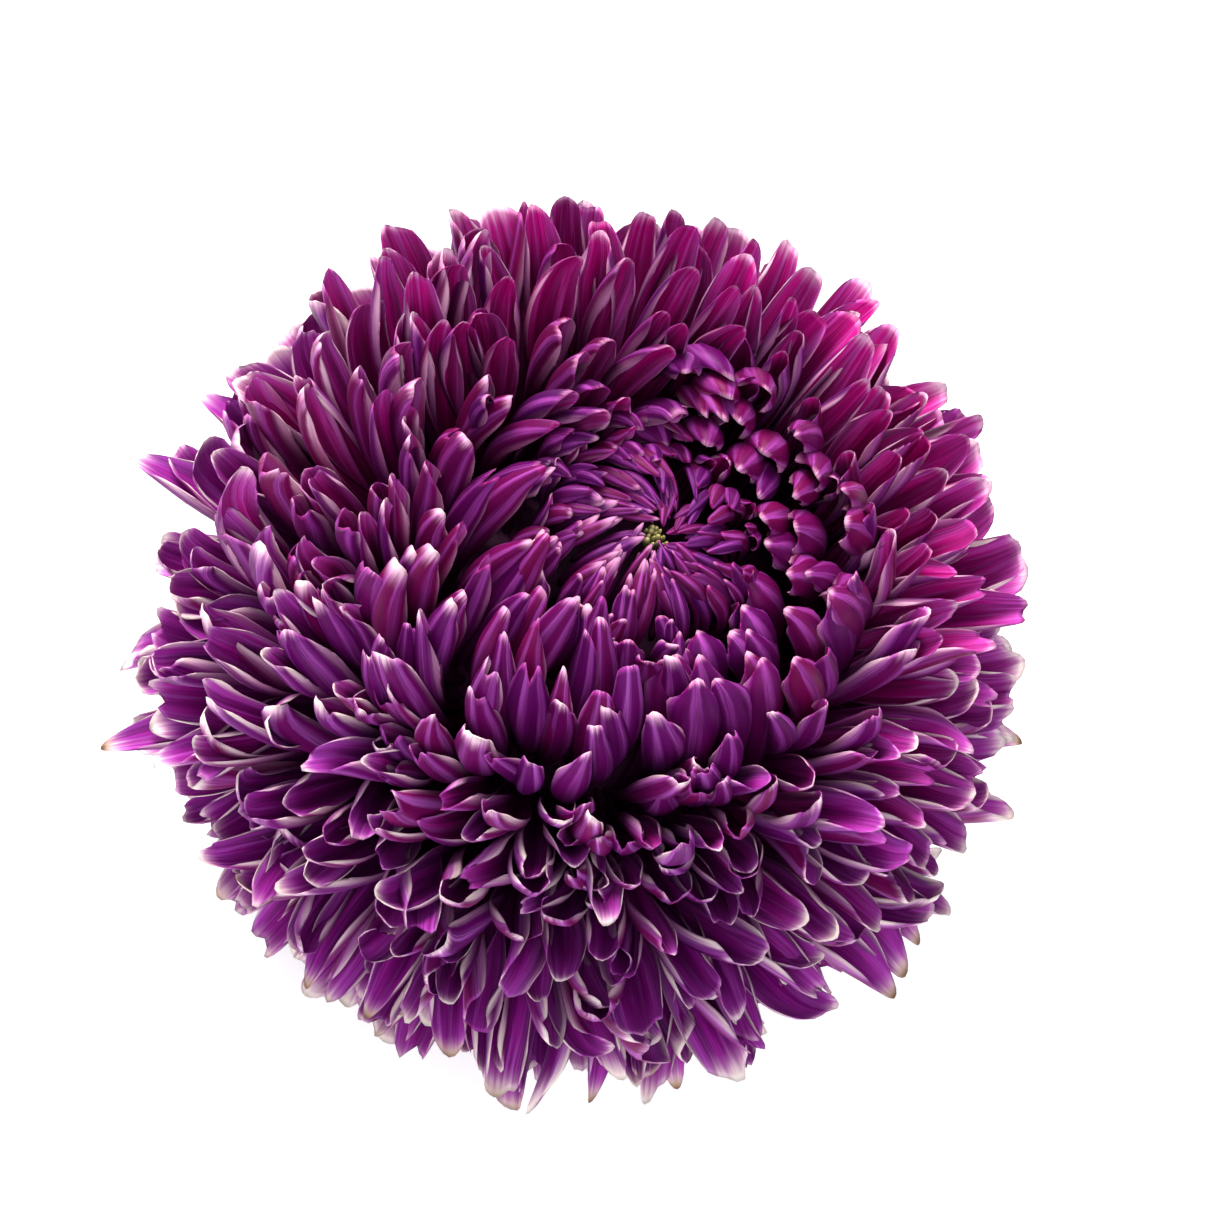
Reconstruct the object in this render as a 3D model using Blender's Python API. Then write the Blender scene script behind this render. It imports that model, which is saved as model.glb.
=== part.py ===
"""Pompon chrysanthemum: one bloom, cut with a short stub of stem and lying face up.

The bloom rests on the tips of its lowest florets. +Z runs up its axis, and the origin is on the
surface it rests on, under the middle of the bloom. Lengths are in millimetres until the meshes
are made, and angles are in degrees.

A floret is placed by its polar angle, measured at the middle of the ball of florets from straight
up, and by its turn round the axis. Each floret turns on from the last one by the golden angle.
Points in the (radius, height) plane are measured from the middle of the ball.
"""

import math
import random

import bmesh
import bpy
from mathutils import Vector

MM = 0.001
GOLDEN_TURN = 180 * (3 - math.sqrt(5))
MIDDLE_HEIGHT = 31.0

# The opened florets. In each pair, the first number is the polar angle of a floret's tip.
INNER_POLARS, INNER_COUNT = (20.0, 57.5), 190
OUTER_POLARS, OUTER_COUNT = (60.5, 124.0), 272
INNER_SPACING = ((20, 5.6), (58, 7.0))
OUTER_SPACING = ((60, 7.0), (90, 8.6), (124, 10.0))
TIP_RADIUS = ((20, 46.0), (30, 49.5), (45, 53.0), (60, 54.5), (90, 55.0), (124, 55.5))
TIP_LEAN = ((20, -12), (30, 2), (42, 14), (56, 28), (90, 72), (124, 116))
FLORET_WIDTH = ((20, 5.2), (35, 6.0), (60, 7.2), (90, 8.0), (124, 8.0))
CUP = ((20, 0.36), (60, 0.30), (90, 0.25), (124, 0.20))
HOOD = ((20, 0.60), (40, 0.36), (58, 0.10), (80, -0.06), (124, -0.16))
FLORET_THICKNESS = 1.2

# Where the opened florets leave the core, and how far they run on inside it
INNER_ROOT_POLAR, INNER_ROOT_RADIUS = ((20, 45), (58, 70)), ((20, 28.0), (58, 29.2))
OUTER_ROOT_POLAR = ((60, 82), (90, 104), (124, 132))
OUTER_ROOT_RADIUS = ((60, 29.8), (90, 28.5), (124, 23.5))
SUNK_SHARE = 0.45
CONTROL_SHARE = 0.5

# How far one floret may differ from its neighbours
LEAN_SPREAD = ((20, 4), (45, 7), (124, 9))
TURN_SPREAD = ((20, 2.0), (124, 3.0))
ROLL_SPREAD = ((20, 10), (124, 16))
LENGTH_SPREAD = ((20, 1.4), (45, 2.2), (70, 2.2), (95, 4.2), (124, 3.2))

# One side of the bloom is more open than the other: its florets lean out more.
OPEN_SIDE, OPENING = 50.0, 8.0
OPENING_SHARE = ((20, 0.6), (40, 1.0), (70, 1.0), (95, 0.0))

# Stations along a floret: share of its length, of its half width and of its cup
HOODED_STATIONS = ((0.55, 1.0, 1.0), (0.86, 0.86, 0.9))
SPREADING_STATIONS = ((0.74, 1.0, 1.0),)
REFLEXED_STATIONS = ((0.5, 0.92, 0.9), (0.84, 0.94, 1.0))
HOODED_UNTIL, REFLEXED_FROM = 42.0, 92.0
TIP_SHARE = 0.54
HOOD_FROM = 0.5

# The crown: slender young florets that lie on a low button and point at the eye
# In each pair, the first number is the radius of a floret's tip.
CROWN_COUNT = 96
CROWN_RADII = (2.3, 12.6)
CROWN_SPACING = ((2, 1.25), (5, 2.0), (9, 2.8), (13, 3.1))
CROWN_TIP_HEIGHT = ((2, 36.8), (5, 37.8), (9, 38.0), (13, 36.6))
CROWN_ROOT_RADIUS = ((2, 8.2), (6, 10.6), (9, 11.6), (13, 11.4))
CROWN_ROOT_HEIGHT = ((2, 33.2), (6, 30.6), (9, 27.6), (13, 26.4))
CROWN_BULGE_RADIUS = ((2, 6.6), (6, 10.2), (9, 13.0), (13, 15.2))
CROWN_BULGE_HEIGHT = ((2, 38.6), (6, 38.4), (9, 36.8), (13, 33.4))
CROWN_WIDTH = ((2, 1.4), (5, 2.1), (9, 2.7), (13, 3.1))
CROWN_THICKNESS = 0.9

# Cores: the packed bases of the florets, as turned profiles of radius and height. The seam is the
# upright gap between the inner and the outer one, along a cone.
CORE_SIDES = 18
SEAM, BORDER_SLOPE = 0.42, 0.69
BUTTON = ((2.6, 35.2), (6.0, 35.4), (9.6, 33.8), (12.4, 30.0), (13.6, 26.0), (13.2, 24.15))
DOME_TOP = ((19.5, 23.85), (27.5, 17.0), (32.6, 9.6))
DOME_FOOT_RADIUS = 12.0
BOWL_RIM_RADIUS = 33.4
BOWL = ((34.0, 0.0), (31.5, -8.5), (26.0, -14.0), (19.0, -17.2), (13.0, -18.6))

# The eye and the green parts under the bloom
EYE = ((1.9, 35.5), (1.8, 36.2), (1.0, 36.8))
EYE_BUDS, EYE_BUD_RADIUS, EYE_BUD_HEIGHT = 9, 0.62, 0.9
CUP_PROFILE = ((12.6, -18.9), (12.4, -20.8), (9.0, -23.6), (5.2, -25.6))
BRACT_ROWS = (
    (13, (11.0, -20.6), (18.2, -19.3), 0.0),
    (12, (8.6, -23.2), (15.6, -21.3), 0.5),
    (8, (5.4, -24.9), (11.4, -23.6), 0.25),
)
BRACT_WIDTH, BRACT_THICKNESS = 4.6, 1.2
STEM_RADIUS, STEM_RIBS, STEM_RIB_HEIGHT = 3.2, 7, 0.09
STEM_TOP, STEM_END = -25.9, -30.2


def along(pairs, x):
    """The value at x on the straight runs between pairs of position and value."""
    if x <= pairs[0][0]:
        return pairs[0][1]
    for (x0, y0), (x1, y1) in zip(pairs, pairs[1:]):
        if x <= x1:
            return y0 + (y1 - y0) * (x - x0) / (x1 - x0)
    return pairs[-1][1]


def girth_at_polar(polar):
    return math.sin(math.radians(polar))


def girth_at_radius(radius):
    return radius


def direction(lean):
    """A unit vector in the (radius, height) plane that leans outward from straight up."""
    return Vector((math.sin(math.radians(lean)), math.cos(math.radians(lean))))


def spread_over(first, last, count, spacing, girth):
    """Places of count tips from first to last, as dense as the spacing and the girth there ask."""
    steps = 400
    edges = [first + (last - first) * k / steps for k in range(steps + 1)]
    held = [0.0]
    for low, high in zip(edges, edges[1:]):
        middle = (low + high) / 2
        held.append(held[-1] + girth(middle) / along(spacing, middle) ** 2)
    shares = [(share / held[-1], edge) for share, edge in zip(held, edges)]
    return [along(shares, (number + 0.5) / count) for number in range(count)]


class Floret:
    """One strap of the bloom: a curve from where it leaves the core to its tip, and its blade."""

    def __init__(self, root, control, tip, turn, roll, width, thickness, cup=0.0, hood=0.0):
        self.root, self.control, self.tip = root, control, tip
        self.turn, self.roll = math.radians(turn), math.radians(roll)
        self.width, self.thickness, self.cup, self.hood = width, thickness, cup, hood

    def frame_at(self, share):
        """Point, side direction and inward direction at this share of the length."""
        rest = 1 - share
        flat = self.root * rest * rest + self.control * (2 * rest * share) + self.tip * share * share
        run = ((self.control - self.root) * rest + (self.tip - self.control) * share).normalized()
        outward = Vector((math.cos(self.turn), math.sin(self.turn), 0))
        sideways = Vector((-math.sin(self.turn), math.cos(self.turn), 0))
        up = Vector((0, 0, 1))
        inward = up * run.x - outward * run.y
        past = max(0.0, share - HOOD_FROM) / (1 - HOOD_FROM)
        point = outward * flat.x + up * flat.y + inward * (self.hood * self.width * past * past)
        side = sideways * math.cos(self.roll) + inward * math.sin(self.roll)
        inward = inward * math.cos(self.roll) - sideways * math.sin(self.roll)
        return point, side, inward

    def sunk_end(self, first_share):
        """The point inside the core where the blade ends, on its straight first stretch."""
        leaves = self.frame_at(0.0)[0]
        return leaves + (leaves - self.frame_at(first_share)[0]) * SUNK_SHARE

    def cupped_blade(self, stations):
        """Points and faces of a closed blade: a sunk end, four points a station, two at the tip."""
        points = [self.sunk_end(stations[0][0])]
        for share, width, cup in stations:
            point, side, inward = self.frame_at(share)
            edge = side * (self.width / 2 * width)
            raised = inward * (self.width * self.cup * cup)
            points += [
                point - edge + raised,
                point,
                point + edge + raised,
                point - inward * self.thickness,
            ]
        point, side, inward = self.frame_at(1.0)
        edge = side * (self.width / 2 * TIP_SHARE)
        points += [point - edge, point + edge]
        faces = [(0, 1 + (k + 1) % 4, 1 + k) for k in range(4)]
        for ring in range(len(stations) - 1):
            low, high = 1 + 4 * ring, 5 + 4 * ring
            faces += [(low + k, low + (k + 1) % 4, high + (k + 1) % 4, high + k) for k in range(4)]
        left, inner, right, outer = range(len(points) - 6, len(points) - 2)
        tip_left, tip_right = len(points) - 2, len(points) - 1
        faces += [
            (left, inner, tip_left),
            (inner, tip_right, tip_left),
            (inner, right, tip_right),
            (right, outer, tip_right),
            (outer, tip_left, tip_right),
            (outer, left, tip_left),
        ]
        return points, faces

    def keeled_blade(self, share=0.6):
        """Points and faces of a closed slender blade with a keel on its back and one tip point."""
        point, side, inward = self.frame_at(share)
        edge = side * (self.width / 2)
        points = [
            self.sunk_end(share),
            point - edge + inward * 0.3 * self.thickness,
            point + edge + inward * 0.3 * self.thickness,
            point - inward * self.thickness,
            self.frame_at(1.0)[0],
        ]
        return points, [(0, 2, 1), (0, 3, 2), (0, 1, 3), (4, 1, 2), (4, 2, 3), (4, 3, 1)]


def opened_florets(polars, count, spacing, root_polar, root_radius, first_number, chance):
    """Blades of the opened florets between two polar angles."""
    blades = []
    for number, polar in enumerate(spread_over(*polars, count, spacing, girth_at_polar)):
        turn = (first_number + number) * GOLDEN_TURN
        turn += chance.uniform(-1, 1) * along(TURN_SPREAD, polar)
        roll = chance.uniform(-1, 1) * along(ROLL_SPREAD, polar)
        reach = along(TIP_RADIUS, polar) + chance.uniform(-1, 1) * along(LENGTH_SPREAD, polar)
        opening = OPENING * math.cos(math.radians(turn - OPEN_SIDE)) * along(OPENING_SHARE, polar)
        lean = along(TIP_LEAN, polar) + opening + chance.uniform(-1, 1) * along(LEAN_SPREAD, polar)
        root = direction(along(root_polar, polar)) * along(root_radius, polar)
        tip = direction(polar) * reach
        control = tip - direction(lean) * ((tip - root).length * CONTROL_SHARE)
        width = along(FLORET_WIDTH, polar)
        floret = Floret(
            root, control, tip, turn, roll, width, FLORET_THICKNESS,
            along(CUP, polar), along(HOOD, polar),
        )
        stations = SPREADING_STATIONS
        if polar < HOODED_UNTIL:
            stations = HOODED_STATIONS
        elif polar > REFLEXED_FROM:
            stations = REFLEXED_STATIONS
        points, faces = floret.cupped_blade(stations)
        blades.append((raised_to_surface(points), faces))
    return blades


def raised_to_surface(points):
    """The points of a blade, bent up along its length so that nothing sinks below the surface."""
    surface = -MIDDLE_HEIGHT
    bent = [point.copy() for point in points]
    root_height = bent[0].z
    lowest = min(point.z for point in bent)
    if lowest < surface:
        for point in bent:
            fall = max(0.0, root_height - point.z) / (root_height - lowest)
            point.z = max(surface, point.z + (surface - lowest) * fall * fall)
    return bent


def crown_florets():
    """Blades of the young florets of the crown. Each lies up the button to a tip near the eye."""
    blades = []
    radii = spread_over(*CROWN_RADII, CROWN_COUNT, CROWN_SPACING, girth_at_radius)
    for number, radius in enumerate(radii):
        tip = Vector((radius, along(CROWN_TIP_HEIGHT, radius)))
        root = Vector((along(CROWN_ROOT_RADIUS, radius), along(CROWN_ROOT_HEIGHT, radius)))
        control = Vector((along(CROWN_BULGE_RADIUS, radius), along(CROWN_BULGE_HEIGHT, radius)))
        floret = Floret(
            root, control, tip, number * GOLDEN_TURN, 0.0, along(CROWN_WIDTH, radius), CROWN_THICKNESS
        )
        blades.append(floret.keeled_blade())
    return blades


def eye_buds():
    """Closed four-sided buds, close together on the eye."""
    blades = []
    for number in range(EYE_BUDS):
        radius = 1.45 * math.sqrt((number + 0.3) / EYE_BUDS)
        turn = math.radians(number * GOLDEN_TURN)
        foot = Vector((radius * math.cos(turn), radius * math.sin(turn), 36.7 - 0.2 * radius))
        ring = [
            foot + Vector((math.cos(turn + k * math.pi / 2), math.sin(turn + k * math.pi / 2), 0))
            * EYE_BUD_RADIUS
            for k in range(4)
        ]
        ends = [foot - Vector((0, 0, EYE_BUD_HEIGHT)), foot + Vector((0, 0, EYE_BUD_HEIGHT))]
        faces = [(4, (k + 1) % 4, k) for k in range(4)] + [(5, k, (k + 1) % 4) for k in range(4)]
        blades.append((ring + ends, faces))
    return blades


def bracts():
    """Pointed bracts in rows round the cup, each row half hidden by the next one up."""
    blades = []
    for count, root, tip, shift in BRACT_ROWS:
        root, tip = Vector(root), Vector(tip)
        control = (root + tip) / 2 + Vector((0.6, -1.0))
        for number in range(count):
            turn = 360 * (number + shift) / count
            floret = Floret(root, control, tip, turn, 0.0, BRACT_WIDTH, BRACT_THICKNESS)
            blades.append(floret.keeled_blade(0.5))
    return blades


def new_object(name, points, faces, collection=None):
    """A mesh object from points in millimetres, with its faces pointing out."""
    mesh = bpy.data.meshes.new(name)
    mesh.from_pydata([point * MM for point in points], [], faces)
    shape = bmesh.new()
    shape.from_mesh(mesh)
    bmesh.ops.recalc_face_normals(shape, faces=shape.faces)
    shape.to_mesh(mesh)
    shape.free()
    thing = bpy.data.objects.new(name, mesh)
    (collection or bpy.context.scene.collection).objects.link(thing)
    return thing


def turned(name, profile, sides=CORE_SIDES, ribs=0, rib_height=0.0):
    """A closed solid turned round the axis from a profile, with flat ends. Ribs run along it."""
    points, faces = [], []
    for radius, height in profile:
        for side in range(sides):
            angle = 2 * math.pi * side / sides
            across = radius * (1 + rib_height * math.cos(ribs * angle))
            points.append(Vector((across * math.cos(angle), across * math.sin(angle), height)))
    for ring in range(len(profile) - 1):
        low, high = ring * sides, (ring + 1) * sides
        for side in range(sides):
            after = (side + 1) % sides
            faces.append((low + side, low + after, high + after, high + side))
    faces.append(tuple(range(sides)))
    faces.append(tuple(range(len(points) - sides, len(points))))
    return new_object(name, points, faces)


def fuse(core, blades):
    """Joins closed blades to their core as one body."""
    repeats = bpy.data.collections.new(core.name + "_repeats")
    bpy.context.scene.collection.children.link(repeats)
    for number, (points, faces) in enumerate(blades):
        new_object(f"{core.name}_{number}", points, faces, repeats)
    union = core.modifiers.new("Union", "BOOLEAN")
    union.operation = "UNION"
    union.operand_type = "COLLECTION"
    union.collection = repeats
    union.solver = "MANIFOLD"
    graph = bpy.context.evaluated_depsgraph_get()
    joined = bpy.data.meshes.new_from_object(core.evaluated_get(graph))
    core.modifiers.clear()
    core.data = joined
    for blade in list(repeats.objects):
        bpy.data.objects.remove(blade)
    bpy.data.collections.remove(repeats)
    return core


def paint(thing, name, colour, roughness):
    """Gives an object a material of its own."""
    material = bpy.data.materials.new(name)
    material.use_nodes = True
    shader = material.node_tree.nodes["Principled BSDF"]
    shader.inputs["Base Color"].default_value = (*colour, 1)
    shader.inputs["Roughness"].default_value = roughness
    shader.inputs["Metallic"].default_value = 0.0
    thing.data.materials.clear()
    thing.data.materials.append(material)
    return thing


def border(radius, drop):
    """A point on the cone under the inner florets' core, or so far below it."""
    return radius, DOME_TOP[-1][1] - (DOME_TOP[-1][0] - radius) * BORDER_SLOPE - drop


def make_inner_florets(chance):
    core = turned("inner_florets", (*DOME_TOP, border(DOME_FOOT_RADIUS, 0.0)))
    blades = opened_florets(
        INNER_POLARS, INNER_COUNT, INNER_SPACING, INNER_ROOT_POLAR, INNER_ROOT_RADIUS,
        CROWN_COUNT, chance,
    )
    return paint(fuse(core, blades), "inner_floret", (0.24, 0.03, 0.20), 0.5)


def make_outer_florets(chance):
    top = (border(DOME_FOOT_RADIUS, SEAM), border(BOWL_RIM_RADIUS, SEAM))
    core = turned("outer_florets", (*top, *BOWL))
    blades = opened_florets(
        OUTER_POLARS, OUTER_COUNT, OUTER_SPACING, OUTER_ROOT_POLAR, OUTER_ROOT_RADIUS,
        CROWN_COUNT + INNER_COUNT, chance,
    )
    return paint(fuse(core, blades), "outer_floret", (0.20, 0.015, 0.16), 0.5)


def make_crown_florets():
    core = turned("crown_florets", BUTTON)
    return paint(fuse(core, crown_florets()), "crown_floret", (0.19, 0.05, 0.22), 0.5)


def make_eye_buds():
    core = turned("eye_buds", EYE, sides=8)
    return paint(fuse(core, eye_buds()), "eye_bud", (0.47, 0.42, 0.14), 0.55)


def make_involucre():
    core = turned("involucre", CUP_PROFILE)
    return paint(fuse(core, bracts()), "bract", (0.13, 0.20, 0.06), 0.6)


def make_stem():
    profile = ((STEM_RADIUS * 1.25, STEM_TOP), (STEM_RADIUS, STEM_TOP - 1.6), (STEM_RADIUS, STEM_END))
    stem = turned("stem", profile, 4 * STEM_RIBS, STEM_RIBS, STEM_RIB_HEIGHT)
    stem.data.shade_smooth()
    stem.data.set_sharp_from_angle(angle=math.radians(50))
    return paint(stem, "stem", (0.16, 0.25, 0.08), 0.55)


def centre_on_origin(bloom, pieces):
    """Moves the bloom so that the origin is under the middle of its bounds."""
    corners = [vertex.co for piece in pieces for vertex in piece.data.vertices]
    for axis in range(2):
        low, high = min(co[axis] for co in corners), max(co[axis] for co in corners)
        bloom.location[axis] = -(low + high) / 2
    bloom.location.z = MIDDLE_HEIGHT * MM


def main():
    for thing in list(bpy.data.objects):
        bpy.data.objects.remove(thing)
    chance = random.Random(27)
    bloom = bpy.data.objects.new("Bloom", None)
    bpy.context.scene.collection.objects.link(bloom)
    pieces = [
        make_inner_florets(chance),
        make_outer_florets(chance),
        make_crown_florets(),
        make_eye_buds(),
        make_involucre(),
        make_stem(),
    ]
    for piece in pieces:
        piece.parent = bloom
    centre_on_origin(bloom, pieces)


main()
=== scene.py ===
"""Pompon chrysanthemum bloom, purple with pale margins, lying face up on a plain pale floor.

Lengths are in millimetres until the meshes are made, and angles are in degrees. Points in the
(radius, height) plane are measured from the middle of the ball of florets, on the bloom's axis.
"""

import math
import random

import bmesh
import bpy
import numpy as np
from mathutils import Matrix, Vector


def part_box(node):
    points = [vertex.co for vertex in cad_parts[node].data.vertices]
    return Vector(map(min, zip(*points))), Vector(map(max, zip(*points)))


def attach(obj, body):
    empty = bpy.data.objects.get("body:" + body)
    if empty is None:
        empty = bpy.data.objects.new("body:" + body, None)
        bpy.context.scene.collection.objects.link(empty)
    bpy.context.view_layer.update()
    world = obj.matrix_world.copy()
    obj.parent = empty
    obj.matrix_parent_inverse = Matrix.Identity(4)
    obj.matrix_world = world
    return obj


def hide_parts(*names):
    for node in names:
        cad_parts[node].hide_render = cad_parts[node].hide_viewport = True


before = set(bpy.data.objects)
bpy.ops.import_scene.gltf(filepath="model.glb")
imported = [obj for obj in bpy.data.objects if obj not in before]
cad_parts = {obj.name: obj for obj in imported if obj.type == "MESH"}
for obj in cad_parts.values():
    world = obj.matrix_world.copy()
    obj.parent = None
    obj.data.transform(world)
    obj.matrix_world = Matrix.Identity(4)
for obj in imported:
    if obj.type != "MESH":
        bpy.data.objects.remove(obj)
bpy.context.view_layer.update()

MM = 0.001
GOLDEN_TURN = 180 * (3 - math.sqrt(5))
MIDDLE_HEIGHT = 31.0
FLOOR_MARGIN = 0.05
EYE_LOW, EYE_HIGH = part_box("eye_buds")
CENTRE = np.array(((EYE_LOW.x + EYE_HIGH.x) / 2 / MM, (EYE_LOW.y + EYE_HIGH.y) / 2 / MM, MIDDLE_HEIGHT))
ON_AXIS = (0, 0, 0)

# Where the opened florets stand. In each pair, the first number is the polar angle of a tip.
INNER_POLARS, INNER_COUNT = (20.0, 57.5), 190
OUTER_POLARS, OUTER_COUNT = (60.5, 124.0), 272
INNER_SPACING = ((20, 5.6), (58, 7.0))
OUTER_SPACING = ((60, 7.0), (90, 8.6), (124, 10.0))
TIP_RADIUS = ((20, 46.0), (30, 49.5), (45, 53.0), (60, 54.5), (90, 55.0), (124, 55.5))
TIP_LEAN = ((20, -12), (30, 2), (42, 14), (56, 28), (90, 72), (124, 116))
FLORET_WIDTH = ((20, 5.2), (35, 6.0), (60, 7.2), (90, 8.0), (124, 8.0))
HOOD = ((20, 0.60), (40, 0.36), (58, 0.10), (80, -0.06), (124, -0.16))
CONTROL_SHARE = 0.5
LEAN_SPREAD = ((20, 4), (45, 7), (124, 9))
TURN_SPREAD = ((20, 2.0), (124, 3.0))
ROLL_SPREAD = ((20, 10), (124, 16))
LENGTH_SPREAD = ((20, 1.4), (45, 2.2), (70, 2.2), (95, 4.2), (124, 3.2))
OPEN_SIDE, OPENING = 50.0, 8.0
OPENING_SHARE = ((20, 0.6), (40, 1.0), (70, 1.0), (95, 0.0))
HOOD_FROM = 0.5
HOOD_KEPT = ((20, 1.1), (28, 0.9), (38, 0.5), (124, 0.5))

# The polar angles of the florets' roots, then how far out from the middle the roots stand
INNER_ROOTS = ((20, 45), (58, 70)), ((20, 28.0), (58, 29.2))
OUTER_ROOTS = ((60, 82), (90, 104), (124, 132)), ((60, 29.8), (90, 28.5), (124, 23.5))

# The crown. In each pair, the first number is the radius of a floret's tip.
CROWN_COUNT = 96
CROWN_RADII = (2.3, 12.6)
CROWN_SPACING = ((2, 1.25), (5, 2.0), (9, 2.8), (13, 3.1))
CROWN_TIP_HEIGHT = ((2, 36.8), (5, 37.8), (9, 38.0), (13, 36.6))
CROWN_ROOT_RADIUS = ((2, 9.0), (6, 11.8), (9, 12.6), (13, 12.4))
CROWN_ROOT_HEIGHT = ((2, 33.2), (6, 30.6), (9, 27.6), (13, 26.4))
CROWN_BULGE_RADIUS = ((2, 7.4), (6, 11.6), (9, 14.0), (13, 15.6))
CROWN_BULGE_HEIGHT = ((2, 38.6), (6, 38.4), (9, 36.8), (13, 33.4))
CROWN_WIDTH = ((2, 1.4), (5, 2.1), (9, 2.7), (13, 3.1))

# On the open side, the crown has all its florets up to the first radius, and every other one up
# to the second
CROWN_FULL, CROWN_SPARSE = 7.2, 12.0

# The pale sides of the crown and of its middle
NEAR_SIDE, NEAR_PALE = -100, 0.30
PALE_MIDDLE_SIDE, CROWN_MIDDLE = 235, 7

# More young florets, for the eye's edge, the gaps of the crown and the hollow round it. A root
# or a bulge is a radius and a height, and a tip is a height.
CLOSING_COUNT, CLOSING_RADII = 30, (0.6, 3.2)
CLOSING_ROOT, CLOSING_BULGE, CLOSING_TIP = (5.8, 33.6), (3.6, 38.2), 37.1
BETWEEN_CROWN_COUNT, BETWEEN_CROWN_RADII = 36, (3.0, 12.0)
HOLLOW_COUNT, HOLLOW_RADII, HOLLOW_DROP = 52, (11.2, 15.4), 6.0
HOLLOW_ROOT, HOLLOW_BULGE, HOLLOW_TIP, HOLLOW_WIDTH = (15.6, 24.0), (16.6, 37.5), 37.8, 2.9
CROWN_EDGE = 13.0

# Those for the gaps stand all round within the first radius and between the next two, and
# elsewhere not on the open side
ALL_WITHIN, ALL_BETWEEN = 6.2, (8.0, 11.2)

# More opened florets, for the gaps between those of the CAD model
BETWEEN_INNER_POLARS, BETWEEN_INNER_COUNT = (19.0, 58.0), 86
BETWEEN_OUTER_POLARS, BETWEEN_OUTER_COUNT = (60.0, 121.0), 132
BETWEEN_SINK = 1.5
GAPS_TRIED = 30

# The side of the bloom where the inner florets stand up as a wall, and how that changes them
WALL_SIDE = -82.0
WALL_FILLING, WALL_TUMBLE, TUMBLED = 0.4, 0.7, (50, 100)
WALL_TAPER, WALL_FOOT = 0.10, 58
WALL_LEAN = ((20, 0), (28, -9), (40, -8), (47, 5), (58, 10), (72, 5), (88, 0))
WALL_REACH = ((20, 0.0), (30, 0.8), (42, 0.5), (50, -1.2), (64, -1.0), (80, 0.0))
WALL_WIDTH = ((20, 0.90), (40, 0.84), (60, 0.92), (124, 0.92))
WALL_CUP = ((20, 0), (50, 4), (70, 12), (124, 10))
WALL_SWAY = ((20, 0.10), (32, 0.17), (58, 0.14), (80, 0.0))

# How the florets opposite the wall differ: smoother, flatter and a little less pale
FAR_CUP = ((20, 0), (50, 4), (70, 10), (124, 8))
FAR_PALE, FAR_FOOT = 0.04, 96
FAR_FRILL, FAR_NOTCHES = 0.6, 0.8

# The open side of the crown, where plump florets bend over a hollow. A row has the radius and the
# height of its tips, its count of florets, and how far beyond and above the tips they bulge.
KNOB_SIDE = 38.0
OPEN_FROM, CLEARED_FROM, CLEARED_POLAR = 0.2, 0.15, 28
KNOB_ROWS = ((12.2, 36.6, 10, 7.2, 1.0), (15.4, 38.8, 13, 7.0, 0.8), (19.0, 41.0, 15, 6.6, 0.2))
KNOB_SPAN = 172.0
KNOB_LEAN = ((20, 40), (32, 40), (40, 0))
KNOB_WIDTH = ((20, 0.90), (28, 0.95), (36, 1.0))
KNOB_SINK = ((20, 2.2), (28, 0.6), (36, 0.0))
KNOB_ROOT, KNOB_BREADTH = (8.6, 21.0), (5.2, 6.8)
KNOB_LOOKS_FROM, KNOB_CUP, KNOB_HOOD = 0.25, 34, 0.15

# The side where the faces of the opened florets are redder, as painted light shining through the thin
# florets, and by how much of their age
LIGHT_THROUGH_SIDE, LIGHT_THROUGH_SHIFT = 115.0, -0.26

# How far an opened floret may stand up more than its neighbours
STAND_UP = ((56, 0), (66, 14), (100, 16), (124, 6))

# Turns of the skirt florets that reach out of the outline and their reach, and how far the
# others stay back
REACHING = (
    (197, 59.2), (230, 59.0), (181, 57.0), (24, 59.0), (1, 57.4), (352, 56.5), (343, 57.0),
    (319, 54.8), (310, 55.0), (275, 53.2), (263, 54.0), (150, 55.0), (95, 55.5), (60, 56.5),
)
STAY_BACK = ((70, 0.0), (88, 1.6), (124, 2.2))
MOST_REACH = 56.4
SKIRT = (84, 116)

# The eye, and the green parts under the bloom
EYE_BUD_COUNT, EYE_TURN = 17, -25.0
EYE_RADIUS, EYE_LONG, EYE_NARROW = 1.35, 1.25, 0.75
EYE_HEIGHT, EYE_DOME = 36.1, 0.16
EYE_BASE = ((1.15, 34.9), (1.1, 35.2), (0.9, 35.5), (0.5, 35.7))
BUD_POLARS = (12, 40, 70, 100, 130, 155, 172)
CUP_PROFILE = (
    (12.4, -18.9), (12.5, -19.8), (12.2, -20.9), (11.0, -22.3), (9.0, -23.6), (7.0, -24.8), (5.2, -25.6),
)
CUP_RIBS, CUP_RIB_DEPTH = 15, 0.015
BRACT_ROWS = (
    (13, (11.0, -20.6), (18.2, -19.3), 0.0),
    (12, (8.6, -23.2), (15.6, -21.3), 0.5),
    (8, (5.4, -24.9), (11.4, -23.6), 0.25),
)
BRACT_WIDTH = 4.6
STEM_RADIUS, STEM_RIBS = 3.2, 7
STEM_TOP, STEM_END = -25.9, -30.2
STEM_RIB_DEPTH = 0.09

# The round mass of the florets' bases, which closes the gaps between them, dark as painted shade seen
# between the florets
BASES_RADIUS, BASES_HEIGHT = 24.0, 4

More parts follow.
